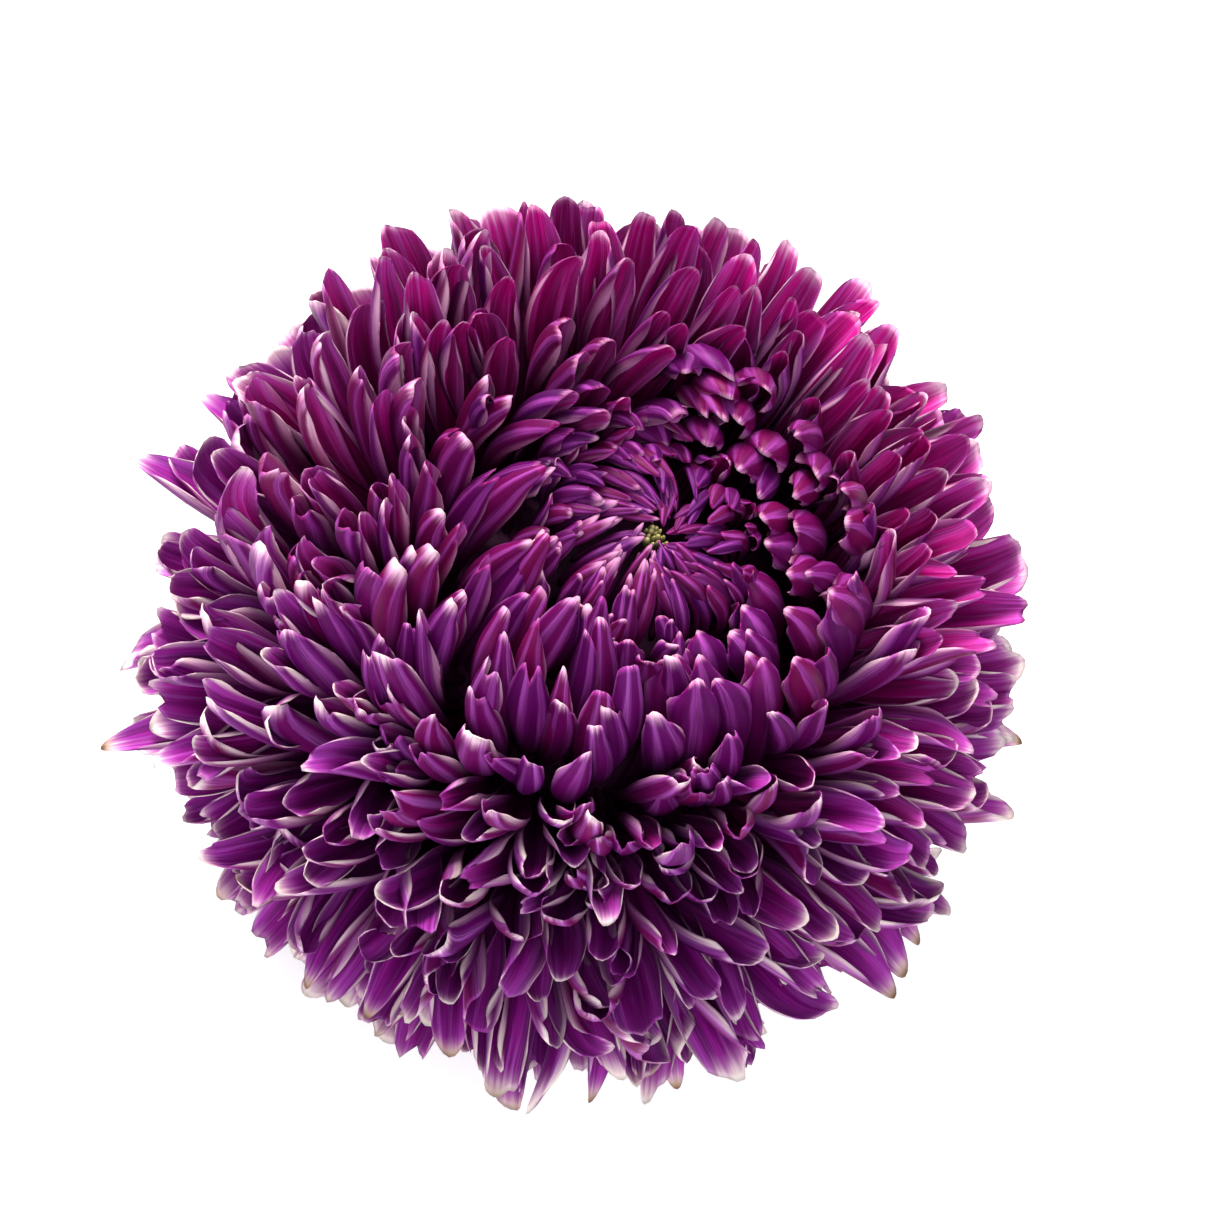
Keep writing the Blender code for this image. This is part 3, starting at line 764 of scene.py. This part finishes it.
class Shader:
    """A small helper that joins nodes into the pattern of one material."""

    def __init__(self, name):
        self.material = bpy.data.materials.new(name)
        self.material.use_nodes = True
        self.nodes = self.material.node_tree.nodes
        self.links = self.material.node_tree.links
        self.surface = self.nodes["Principled BSDF"]

    def feed(self, socket, value):
        if isinstance(value, bpy.types.NodeSocket):
            self.links.new(value, socket)
        else:
            socket.default_value = value

    def own(self, name):
        node = self.nodes.new("ShaderNodeAttribute")
        node.attribute_name = name
        parts = self.nodes.new("ShaderNodeSeparateXYZ")
        self.links.new(node.outputs["Vector"], parts.inputs[0])
        return parts.outputs["X"], parts.outputs["Y"], parts.outputs["Z"]

    def math(self, operation, *values):
        node = self.nodes.new("ShaderNodeMath")
        node.operation = operation
        for socket, value in zip(node.inputs, values):
            self.feed(socket, value)
        return node.outputs[0]

    def times(self, first, *others):
        """The product of two or more values."""
        for other in others:
            first = self.math("MULTIPLY", first, other)
        return first

    def vector(self, x, y, z):
        node = self.nodes.new("ShaderNodeCombineXYZ")
        for socket, value in zip(node.inputs, (x, y, z)):
            self.feed(socket, value)
        return node.outputs[0]

    def noise(self, where, scale, detail=2.0, roughness=0.5):
        node = self.nodes.new("ShaderNodeTexNoise")
        self.feed(node.inputs["Vector"], where)
        node.inputs["Scale"].default_value = scale
        node.inputs["Detail"].default_value = detail
        node.inputs["Roughness"].default_value = roughness
        return node.outputs["Fac"]

    def band(self, value, low, high, bottom=0.0, top=1.0):
        node = self.nodes.new("ShaderNodeMapRange")
        node.interpolation_type = "SMOOTHSTEP"
        for socket, given in zip(node.inputs, (value, low, high, bottom, top)):
            self.feed(socket, given)
        return node.outputs[0]

    def mix(self, share, first, second):
        node = self.nodes.new("ShaderNodeMix")
        node.data_type = "RGBA"
        node.clamp_factor = True
        self.feed(node.inputs[0], share)
        self.feed(node.inputs[6], first if hasattr(first, "links") else (*first, 1))
        self.feed(node.inputs[7], second if hasattr(second, "links") else (*second, 1))
        return node.outputs[2]

    def bump(self, height, distance):
        node = self.nodes.new("ShaderNodeBump")
        node.inputs["Distance"].default_value = distance * MM
        self.feed(node.inputs["Height"], height)
        self.links.new(node.outputs[0], self.surface.inputs["Normal"])

    def finish(self, colour, roughness):
        self.feed(self.surface.inputs["Base Color"], colour)
        self.feed(self.surface.inputs["Roughness"], roughness)
        return self.material


# Colours of the florets. Of a pair, the second is for the older or the warmer ones.
FACE = (0.61, 0.005, 0.25), (0.38, 0.009, 0.33)
PALE_FACE = (0.66, 0.13, 0.66), (0.57, 0.12, 0.66)
# Dark colour of the inner face's fine lines, also used as painted shade in its channel and folds
FACE_LINES_AND_SHADE = (0.11, 0.0006, 0.040), (0.070, 0.0008, 0.062)
CROWN_BACK = (0.060, 0.0022, 0.080), (0.110, 0.0018, 0.048)
BACK = (0.098, 0.0014, 0.092), (0.155, 0.0014, 0.062)
OLD_BACK = (0.145, 0.003, 0.152), (0.20, 0.003, 0.108)
RIB_STREAK_AND_HIGHLIGHT = (0.42, 0.065, 0.44), (0.52, 0.14, 0.62)
# Colours at the bases of the faces, partly their own darker tone and partly painted shade deep in the
# bloom, and of the back's fine lines
FACE_BASE_AND_SHADE, BACK_BASE_AND_SHADE, BACK_LINES = (0.064, 0.0005, 0.026), (0.060, 0.0006, 0.036), (0.060, 0.0006, 0.045)
BLUSH_AND_BACKLIGHT = (0.76, 0.32, 0.58), (0.70, 0.36, 0.60)
YOUNG_RIM, OLD_RIM = ((0.66, 0.30, 0.50), (0.84, 0.58, 0.68)), (0.96, 0.85, 0.76)
BROWNED = (0.40, 0.22, 0.12)


def floret_material():
    make = Shader("floret")
    band, mix, times = make.band, make.mix, make.times
    u, s, side = make.own("place")
    seed, age, pale = make.own("own")
    edge = make.math("ABSOLUTE", u)

    across = make.math("MULTIPLY_ADD", u, 7.0, times(seed, 37.0))
    streaks = make.noise(make.vector(across, times(s, 1.5), times(seed, 91.0)), 1.0, 3.0, 0.6)
    finer = make.math("MULTIPLY_ADD", u, 24.0, times(seed, 71.0))
    lines = make.noise(make.vector(finer, times(s, 2.5), seed), 1.0, 1.0)
    veins = make.math("COSINE", make.math("MULTIPLY_ADD", u, 9.7, times(streaks, 3.0)))
    veins = make.math("MULTIPLY_ADD", veins, 0.5, 0.5)

    # Inner face: crimson on the young florets and purple on the old ones, with painted shade in its middle
    # channel and along its folds, nearly black at the base, partly its own dark base and partly painted
    # shade deep in the bloom, lighter up the sides and streaked lengthwise
    grown = band(make.math("MULTIPLY_ADD", seed, 0.24, make.math("SUBTRACT", age, 0.12)), 0.25, 0.80)
    warm = band(make.math("FRACT", times(seed, 13.0)), 0.1, 0.9)
    front = mix(band(s, 0.0, 0.75), FACE_BASE_AND_SHADE, mix(grown, *FACE))
    pale_face = mix(grown, *PALE_FACE)
    # Paler up the flanks: partly the florets' own paler margins and partly painted sheen on the rolled
    # flanks
    sides = times(
        band(edge, 0.25, 0.85), band(s, 0.15, 0.75, 0.1, 0.85), band(streaks, 0.35, 0.58, 0.15, 1.0)
    )
    streak = times(band(streaks, 0.50, 0.64), band(s, 0.25, 0.8, 0.0, 0.55))
    front = mix(make.math("MAXIMUM", sides, streak), front, pale_face)
    # Paler towards the tips: partly their own paler tips and partly painted light shining through the thin
    # tips
    pale_tips_and_backlight = times(band(s, 0.70, 1.0, 0.0, 0.55), band(age, 0.15, 0.45), band(age, 0.55, 1.0, 1.0, 0.5))
    front = mix(pale_tips_and_backlight, front, pale_face)
    face_lines_and_shade = mix(grown, *FACE_LINES_AND_SHADE)
    # Painted shade in the middle channel of the cupped face and along its folds near the tip
    channel_shade = times(band(edge, 0.03, 0.40, 1.0, 0.0), band(s, 0.5, 1.0, 0.70, 0.3))
    fold_shade = times(band(veins, 0.0, 0.55, 0.70, 0.0), band(s, 0.6, 1.0, 1.0, 0.35))
    front = mix(make.math("MAXIMUM", channel_shade, fold_shade), front, face_lines_and_shade)
    front = mix(band(lines, 0.50, 0.66, 0.0, 0.48), front, face_lines_and_shade)

    # Back: purple with soft pale bands along the ribs, partly its own pale streaks and partly painted
    # highlight on the ridges, darkest on the crown
    back = mix(band(age, 0.0, 0.22), mix(warm, *CROWN_BACK), mix(warm, *BACK))
    back = mix(grown, back, mix(warm, *OLD_BACK))
    # Darker towards the base: partly its own tone and partly painted shade deep in the bloom
    back = mix(band(s, 0.0, 0.85), BACK_BASE_AND_SHADE, back)
    rib_streak_and_highlight = times(
        band(veins, 0.42, 1.0), band(streaks, 0.3, 0.7, 0.3, 1.0), band(s, 0.15, 0.95, 0.1, 0.8)
    )
    back = mix(rib_streak_and_highlight, back, mix(grown, *RIB_STREAK_AND_HIGHLIGHT))
    back = mix(band(lines, 0.50, 0.70, 0.0, 0.6), back, BACK_LINES)
    colour = mix(side, back, front)

    # Pale margins and tips: a blush and a narrow cream rim, stronger on the older florets; the margins are
    # the florets' own, and their paleness at the tips is partly painted light shining through the thin tips
    ragged = make.math("MULTIPLY_ADD", streaks, 0.30, -0.15)
    worn = make.math("ADD", edge, ragged)
    tip_start = make.math("SUBTRACT", 1.0, times(pale, 0.19))
    tip = band(make.math("MULTIPLY_ADD", ragged, 0.40, s), tip_start, 1.03)
    blush_and_backlight = times(band(worn, 0.72, 1.0), band(s, 0.35, 0.85, 0.0, 0.8))
    blush_and_backlight = make.math("MAXIMUM", blush_and_backlight, band(tip, 0.0, 0.8, 0.0, 0.9))
    blush_and_backlight = times(blush_and_backlight, band(pale, 0.0, 0.7, 0.45, 1.0), band(age, 0.0, 0.16, 0.5, 1.0))
    colour = mix(blush_and_backlight, colour, mix(band(age, 0.2, 0.8), *BLUSH_AND_BACKLIGHT))
    outermost = make.math("ADD", worn, times(band(s, 0.6, 1.0, 0.0, 0.24), pale))
    rim = times(band(outermost, 0.90, 1.08), band(s, 0.50, 0.95))
    rim = make.math("MAXIMUM", rim, band(tip, 0.35, 1.0))
    rim = times(rim, band(pale, 0.0, 0.9, 0.30, 1.0), band(age, 0.0, 0.16, 0.35, 1.0))
    rim_colour = mix(band(age, 0.0, 0.22), *YOUNG_RIM)
    rim_colour = mix(band(age, 0.25, 0.65), rim_colour, OLD_RIM)
    colour = mix(rim, colour, rim_colour)
    browned = times(band(age, 0.93, 1.0), band(s, 0.93, 1.0), band(seed, 0.45, 0.75))
    colour = mix(browned, colour, BROWNED)

    make.surface.inputs["Specular IOR Level"].default_value = 0.20
    make.surface.inputs["Specular Tint"].default_value = (0.95, 0.60, 0.92, 1)
    return make.finish(colour, band(streaks, 0.2, 0.8, 0.40, 0.58))


def plain_material(name, deep, light, scale, roughness):
    """A mottled surface between two colours."""
    make = Shader(name)
    place = make.nodes.new("ShaderNodeTexCoord").outputs["Object"]
    mottle = make.noise(place, scale, 4.0, 0.6)
    make.bump(mottle, 0.15)
    rough = make.band(mottle, 0.3, 0.7, roughness - 0.08, roughness + 0.08)
    return make.finish(make.mix(make.band(mottle, 0.35, 0.65), deep, light), rough)


def bract_material():
    make = Shader("bract")
    u, s = make.own("place")[:2]
    seed = make.own("own")[0]
    edge = make.math("ABSOLUTE", u)
    across = make.math("MULTIPLY_ADD", u, 9.0, make.times(seed, 37.0))
    streaks = make.noise(make.vector(across, make.times(s, 3.0), seed), 1.0, 4.0, 0.6)
    green = make.mix(make.band(streaks, 0.3, 0.7), (0.060, 0.125, 0.022), (0.17, 0.26, 0.065))
    green = make.mix(make.band(edge, 0.02, 0.16, 0.6, 0.0), green, (0.25, 0.34, 0.12))
    ragged = make.math("MULTIPLY_ADD", streaks, 0.2, edge)
    dry = make.times(make.band(ragged, 0.86, 1.02), make.band(s, 0.2, 0.6))
    green = make.mix(dry, green, (0.36, 0.24, 0.15))
    green = make.mix(make.band(s, 0.90, 1.0, 0.0, 0.8), green, (0.20, 0.09, 0.10))
    make.bump(streaks, 0.12)
    return make.finish(green, make.band(streaks, 0.2, 0.8, 0.48, 0.66))


def stem_material():
    make = Shader("stem")
    turn, height, radius = make.own("place")
    skin_place = make.vector(make.times(turn, 60.0), make.times(height, 3.0), radius)
    fibre = make.noise(skin_place, 1.0, 4.0, 0.6)
    skin = make.mix(make.band(fibre, 0.3, 0.7), (0.075, 0.145, 0.030), (0.20, 0.29, 0.080))
    rib = make.band(make.math("COSINE", make.times(turn, 2 * math.pi * STEM_RIBS)), 0.3, 1.0, 0.0, 0.45)
    skin = make.mix(rib, skin, (0.27, 0.36, 0.13))
    make.bump(fibre, 0.12)
    return make.finish(skin, make.band(fibre, 0.2, 0.8, 0.45, 0.62))


def eye_material():
    make = Shader("eye_bud")
    place = make.nodes.new("ShaderNodeTexCoord").outputs["Object"]
    mottle = make.noise(place, 900, 3.0)
    height = make.own("place")[1]
    young = make.mix(make.band(mottle, 0.3, 0.7), (0.34, 0.31, 0.08), (0.58, 0.52, 0.24))
    make.bump(mottle, 0.05)
    # Darker towards the bottom of each bud: painted shade where the buds crowd together
    colour = make.mix(make.band(height, 0.45, 0.95), (0.14, 0.10, 0.04), young)
    return make.finish(colour, make.band(mottle, 0.3, 0.7, 0.45, 0.6))


def turned(profile, sides, ripple=0.0, ripples=0):
    """Points, faces and places of a closed surface turned from a profile of radius and height."""
    angles = np.arange(sides) * 2 * math.pi / sides
    points, places = [], []
    widest = max(radius for radius, height in profile)
    for ring, (radius, height) in enumerate(profile):
        wide = radius * (1 + ripple * np.cos(ripples * angles))
        points.append(np.stack((wide * np.cos(angles), wide * np.sin(angles), np.full(sides, height)), -1))
        share = np.full(sides, ring / (len(profile) - 1))
        places.append(np.stack((angles / (2 * math.pi), share, np.full(sides, radius / widest)), -1))
    faces = [tuple(range(sides))[::-1], tuple(range((len(profile) - 1) * sides, len(profile) * sides))]
    for ring in range(len(profile) - 1):
        low, high = ring * sides, (ring + 1) * sides
        for side in range(sides):
            after = (side + 1) % sides
            faces.append((low + side, low + after, high + after, high + side))
    return np.concatenate(points), faces, np.concatenate(places)


def turned_piece(name, parts, material):
    """One piece from turned parts, each put at its own place."""
    points, faces, places = [], [], []
    for (part, part_faces, part_places), spot in parts:
        start = sum(len(done) for done in points)
        points.append(part + np.array(spot))
        faces += [tuple(start + corner for corner in face) for face in part_faces]
        places.append(part_places)
    mesh = bpy.data.meshes.new(name)
    mesh.from_pydata(((np.concatenate(points) + CENTRE) * MM).tolist(), [], faces)
    mesh.validate()
    shape = bmesh.new()
    shape.from_mesh(mesh)
    bmesh.ops.recalc_face_normals(shape, faces=shape.faces)
    shape.to_mesh(mesh)
    shape.free()
    mesh.shade_smooth()
    mesh.set_sharp_from_angle(angle=math.radians(55))
    put(mesh, "place", np.concatenate(places))
    mesh.materials.append(material)
    return add(name, mesh)


def eye_parts(chance):
    """Closed buds crowded on the eye."""
    parts = [(turned(EYE_BASE, 20), ON_AXIS)]
    slant = math.radians(EYE_TURN)
    for number in range(EYE_BUD_COUNT):
        radius = EYE_RADIUS * math.sqrt((number + 0.3) / EYE_BUD_COUNT)
        turn = math.radians(number * GOLDEN_TURN)
        size, tall = chance.uniform(0.26, 0.46), chance.uniform(0.50, 1.10)
        profile = [direction(polar) * (size, -tall) for polar in BUD_POLARS]
        ahead, beside = EYE_LONG * radius * math.cos(turn), EYE_NARROW * radius * math.sin(turn)
        x = ahead * math.cos(slant) - beside * math.sin(slant)
        y = ahead * math.sin(slant) + beside * math.cos(slant)
        z = EYE_HEIGHT - EYE_DOME * radius**2 + chance.uniform(-0.25, 0.25)
        parts.append((turned(profile, 9), (x, y, z)))
    return parts


# The florets of the CAD model in their own places, from the same random draws as there
same = random.Random(27)
first_outer = CROWN_COUNT + INNER_COUNT
inner = opened_florets(INNER_POLARS, INNER_COUNT, INNER_SPACING, INNER_ROOTS, CROWN_COUNT, same)
outer = opened_florets(OUTER_POLARS, OUTER_COUNT, OUTER_SPACING, OUTER_ROOTS, first_outer, same)

# What only this script adds has draws of its own
fine = random.Random(5)
crown = crown_florets(fine) + closing_florets(fine) + hollow_florets(fine) + between_crown_florets(fine)
crown += knob_florets(fine)
inner += florets_between(inner, BETWEEN_INNER_POLARS, BETWEEN_INNER_COUNT, INNER_ROOTS, fine)
outer += florets_between(outer, BETWEEN_OUTER_POLARS, BETWEEN_OUTER_COUNT, OUTER_ROOTS, fine)
inner = [
    floret
    for floret in sorted(inner, key=lambda floret: floret["polar"])
    if floret["polar"] > CLEARED_POLAR or toward(floret["turn"], KNOB_SIDE) < CLEARED_FROM
]
outer = sorted(outer, key=lambda floret: floret["polar"])
for floret in inner + outer:
    unsettle(floret, fine)
reach_out(outer)
for floret in inner + outer:
    settle(floret)

dress(inner, fine, OPENED_LOOKS)
dress(outer, fine, OPENED_LOOKS)
dress(crown, fine, CROWN_LOOKS)
sharpen(outer)
for floret in inner + outer:
    suit_to_side(floret)
for floret in crown:
    suit_to_crown(floret)
for floret in inner + outer + crown:
    floret["pale"] = max(LEAST_PALE, floret["pale"])

floret_look = floret_material()
inner_piece = floret_piece("inner_florets_upper", inner[:INNER_UPPER], OPENED_SHELL, floret_look)
inner_b = floret_piece("inner_florets_lower", inner[INNER_UPPER:], OPENED_SHELL, floret_look)
outer_a = floret_piece("outer_florets_upper", outer[:OUTER_UPPER], OPENED_SHELL, floret_look)
outer_b = floret_piece("outer_florets_lower", outer[OUTER_UPPER:], OPENED_SHELL, floret_look)
crown_piece = floret_piece("crown_florets_fine", crown, CROWN_SHELL, floret_look)

# Painted shade: a dark ball that shows only in the gaps between the florets
bases_shade_look = plain_material("painted_shade_bases", (0.040, 0.002, 0.030), (0.09, 0.005, 0.066), 300, 0.7)
ball = [BASES_RADIUS * direction(polar) + (0, BASES_HEIGHT) for polar in range(8, 155, 8)]
core = turned_piece("floret_bases", [(turned(ball, 48), ON_AXIS)], bases_shade_look)
eye_piece = turned_piece("eye_buds_fine", eye_parts(fine), eye_material())

green = dress(bracts(), fine, BRACT_LOOKS)
bract_piece = floret_piece("involucre_bracts", green, BRACT_SHELL, bract_material())
cup = turned(CUP_PROFILE, 60, CUP_RIB_DEPTH, CUP_RIBS)
cup_piece = turned_piece("involucre_cup", [(cup, ON_AXIS)], stem_material())
stem_profile = [
    (STEM_RADIUS * 1.30, STEM_TOP + 0.3), (STEM_RADIUS * 1.18, STEM_TOP - 0.5),
    (STEM_RADIUS * 1.04, STEM_TOP - 1.4), (STEM_RADIUS, STEM_TOP - 2.6),
    (STEM_RADIUS, STEM_END + 0.15), (STEM_RADIUS * 0.97, STEM_END),
]
stem = turned(stem_profile, 84, STEM_RIB_DEPTH, STEM_RIBS)
stem_piece = turned_piece("stem_fine", [(stem, ON_AXIS)], stem_material())

slots = {
    inner_piece: "inner_floret", inner_b: "inner_floret", outer_a: "outer_floret", outer_b: "outer_floret",
    crown_piece: "crown_floret", core: "outer_floret", eye_piece: "eye_bud", bract_piece: "bract",
    cup_piece: "bract", stem_piece: "stem",
}
for piece, slot in slots.items():
    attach(piece, "root")
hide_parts("inner_florets")
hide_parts("outer_florets")
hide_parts("crown_florets")
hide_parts("eye_buds")
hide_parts("involucre")
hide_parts("stem")

# Floor, light and camera, in metres
FLOOR_SIZE, FLOOR_GAP = 8.0, 0.0002
LIT_SPOT = (0, 0, 0.03)
ELEVATION, ROLL, DISTANCE = 65.5, 35.0, 0.3665
TARGET = Vector((0.0, 0.0, 0.033))


def floor_piece():
    """A plain pale floor just under the bloom, which glows a little to come out white."""
    size = FLOOR_SIZE / 2
    corners = [(-size, -size, 0), (size, -size, 0), (size, size, 0), (-size, size, 0)]
    mesh = bpy.data.meshes.new("floor")
    mesh.from_pydata(corners, [], [(0, 1, 2, 3)])
    floor = add("floor", mesh)
    floor.location.z = -FLOOR_GAP
    material = bpy.data.materials.new("floor")
    material.use_nodes = True
    shader = material.node_tree.nodes["Principled BSDF"]
    shader.inputs["Base Color"].default_value = (0.85, 0.85, 0.85, 1)
    shader.inputs["Emission Color"].default_value = (1, 1, 1, 1)
    shader.inputs["Emission Strength"].default_value = 0.45
    shader.inputs["Roughness"].default_value = 0.9
    shader.inputs["Specular IOR Level"].default_value = 0.1
    mesh.materials.append(material)


def lamp(name, place, size, power, colour):
    """A round soft lamp that points at the bloom."""
    data = bpy.data.lights.new(name, "AREA")
    data.shape, data.size = "DISK", size
    data.energy, data.color = power, colour
    thing = add(name, data)
    thing.location = place
    thing.rotation_euler = (Vector(LIT_SPOT) - Vector(place)).to_track_quat("-Z", "Y").to_euler()


floor_piece()
lamp("key", (-0.92, 0.58, 1.00), 0.8, 40.5, (1.0, 0.94, 0.88))
lamp("fill", (0.3, -0.8, 1.3), 1.2, 11.0, (0.93, 0.95, 1.0))

world = bpy.data.worlds.new("studio")
world.use_nodes = True
world.node_tree.nodes["Background"].inputs["Color"].default_value = (0.95, 0.97, 1.0, 1)
world.node_tree.nodes["Background"].inputs["Strength"].default_value = 0.62
bpy.context.scene.world = world
bpy.context.scene.view_settings.view_transform = "Standard"
bpy.context.scene.cycles.max_bounces = 5
bpy.context.scene.cycles.diffuse_bounces = 3

camera = add("camera", bpy.data.cameras.new("camera"))
camera.data.lens, camera.data.sensor_width = 90, 36
camera.data.shift_x, camera.data.shift_y = 0.014, 0.040
back = Vector((0, -math.cos(math.radians(ELEVATION)), math.sin(math.radians(ELEVATION))))
turned_view = (-back).to_track_quat("-Z", "Y").to_matrix().to_4x4()
camera.matrix_world = (
    Matrix.Translation(TARGET + back * DISTANCE) @ turned_view @ Matrix.Rotation(math.radians(ROLL), 4, "Z")
)
bpy.context.scene.camera = camera
